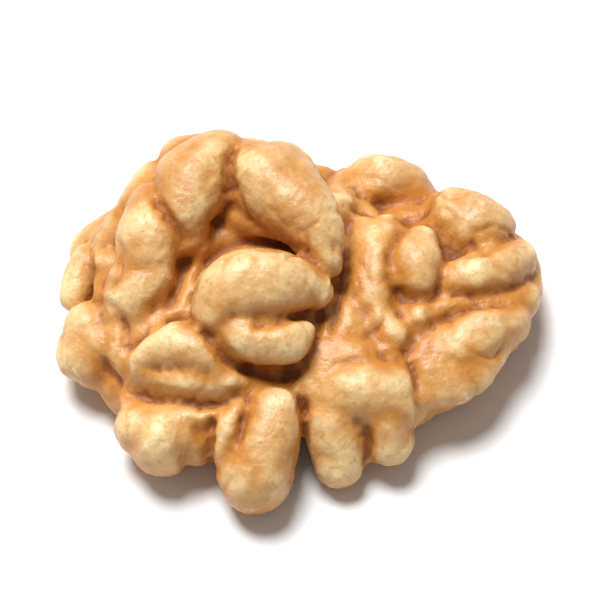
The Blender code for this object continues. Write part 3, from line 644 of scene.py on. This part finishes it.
# Small marks: freckles, fine grain, and pale scuffs where the skin has rubbed off a fold's top. Each
# pair is where in its noise a mark starts and is full.
TAN_PATCHES = (0.40, 0.62)
CREAM_PATCHES = (0.35, 0.55)
FRECKLES = (0.55, 0.70)
GRAIN = (0.3, 0.7)
SCUFFS = (0.60, 0.64)
# Cream on the fold tops: part pale worn skin, part painted highlight.
cream_wear_and_highlight = worn_and_lit_tops * (0.5 + 0.5 * patches.between(*CREAM_PATCHES))
freckles = cloudy(1.3, 6.0, 1.4).between(*FRECKLES)
scuff = cloudy(0.8, 7.0, 0.8).between(*SCUFFS) * relief.between(*SCUFF_HEIGHTS)

# Cream on the tops of the folds, part worn skin and part painted highlight; amber down their sides and
# rust in the hollows and creases, part darker skin and part painted shade; painted shade, dark, in the
# deepest creases; laid one over the other: (colour, where it goes, how strong it is)
LAYERS = (
    (SKIN_TAN, patches.between(*TAN_PATCHES), 1.0),
    (CREAM_SKIN_AND_HIGHLIGHT, cream_wear_and_highlight, 1.0),
    (AMBER_SKIN_AND_SHADE, slope, 0.75),
    (RUST_BROWN_SKIN_AND_SHADE, hollow, 0.85),
    (RUST_BROWN_SKIN_AND_SHADE, crease, 0.7),
    (PAINTED_SHADE_IN_CREASES, hollow * crease, 0.85),
    (SKIN_GOLD, freckles, 0.5),
    (SKIN_GOLD, 1.0 - grain.between(*GRAIN), 0.22),
    (SKIN_SCUFF, scuff, 0.6),
)
base = SKIN_GOLD
for tint, where, strength in LAYERS:
    base = mixed(base, tint, where * strength)

# Oily flesh under the skin gives it a satin sheen, which dries out in blotches and in the creases. The
# bumps are shares of the bump depth.
SATIN = 0.31
DRYNESS = 0.2
BUMP_DEPTH = 0.9 * MM
BUMP_STRENGTH = 0.8
GLOW_SHARE = 0.12
GLOW_DEPTH = 1.2 * MM
GLOW_BY_COLOUR = (1.0, 0.45, 0.2)
gloss = SATIN + DRYNESS * blotches + DRYNESS * crease
bumps = grain * 0.06 + cloudy(1.1, 4.0) * 0.14 + streaks * 0.08
bumped = Wire.node(
    "ShaderNodeBump", inputs={"Strength": BUMP_STRENGTH, "Distance": BUMP_DEPTH, "Height": bumps}
)

shader = skin.node_tree.nodes["Principled BSDF"]
for name, wire in {"Base Color": base, "Roughness": gloss, "Normal": bumped}.items():
    skin.node_tree.links.new(wire.socket, shader.inputs[name])
shader.inputs["Subsurface Weight"].default_value = GLOW_SHARE
shader.inputs["Subsurface Radius"].default_value = GLOW_BY_COLOUR
shader.inputs["Subsurface Scale"].default_value = GLOW_DEPTH
shader.inputs["Specular IOR Level"].default_value = 0.5
kernel.data.materials.append(skin)

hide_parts("walnut_kernel")
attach(kernel, "root")

# The floor: a sheet of smooth white board under the kernel, far wider than the view. It's card with
# a matt coat, laid flat at the height of the kernel's foot.
FLOOR_SIZE = 1.2
BOARD_WHITE = (0.9, 0.9, 0.9, 1)
BOARD_ROUGHNESS = 0.8
bpy.ops.mesh.primitive_plane_add(size=FLOOR_SIZE, location=(0, 0, cad_bounds[0][2]))
floor = bpy.context.object
floor.name = "white_board"
board = bpy.data.materials.new("white_board")
board.use_nodes = True
coat = board.node_tree.nodes["Principled BSDF"]
coat.inputs["Base Color"].default_value = BOARD_WHITE
coat.inputs["Roughness"].default_value = BOARD_ROUGHNESS
floor.data.materials.append(board)

# The lights: a dim even tent whose walls look white, and one broad soft key light, high up behind
# and to the left.
TENT_GLOW = 0.24
TENT_WHITE = 1.0
KEY_PLACE = Vector((-0.08, 0.13, 0.35))
KEY_STRENGTH = 4.5
KEY_SPREAD = math.radians(30)
tent = bpy.data.worlds.new("light_tent")
bpy.context.scene.world = tent
tent.use_nodes = True
Wire.tree = tent.node_tree
seen = Wire.node("ShaderNodeLightPath", output="Is Camera Ray")
glow = TENT_GLOW + (TENT_WHITE - TENT_GLOW) * seen
tent_light = tent.node_tree.nodes["Background"]
tent_light.inputs["Color"].default_value = (1, 1, 1, 1)
tent.node_tree.links.new(glow.socket, tent_light.inputs["Strength"])

lamp = bpy.data.lights.new("soft_key", "SUN")
lamp.energy = KEY_STRENGTH
lamp.angle = KEY_SPREAD
lamp_holder = bpy.data.objects.new("soft_key", lamp)
bpy.context.scene.collection.objects.link(lamp_holder)
lamp_holder.location = KEY_PLACE
lamp_holder.rotation_euler = (-KEY_PLACE).to_track_quat("-Z", "Y").to_euler()

# The camera: a long lens, looking down on the front of the kernel from over ten times its width
# away, so that its far edge looks hardly smaller than its near one.
CAMERA_RISE = math.radians(60)
CAMERA_DISTANCE = 0.40
FRAME_WIDTH = 0.043  # of what the camera sees at the kernel
SENSOR_WIDTH = 36  # mm
camera = bpy.data.cameras.new("camera")
camera.sensor_width = SENSOR_WIDTH
camera.lens = SENSOR_WIDTH * CAMERA_DISTANCE / FRAME_WIDTH
viewer = bpy.data.objects.new("camera", camera)
bpy.context.scene.collection.objects.link(viewer)
middle = (Vector(cad_bounds[0]) + Vector(cad_bounds[1])) / 2
towards = Vector((0, math.cos(CAMERA_RISE), -math.sin(CAMERA_RISE)))
viewer.location = middle - CAMERA_DISTANCE * towards
viewer.rotation_euler = towards.to_track_quat("-Z", "Y").to_euler()
bpy.context.scene.camera = viewer
bpy.context.scene.view_settings.view_transform = "Standard"
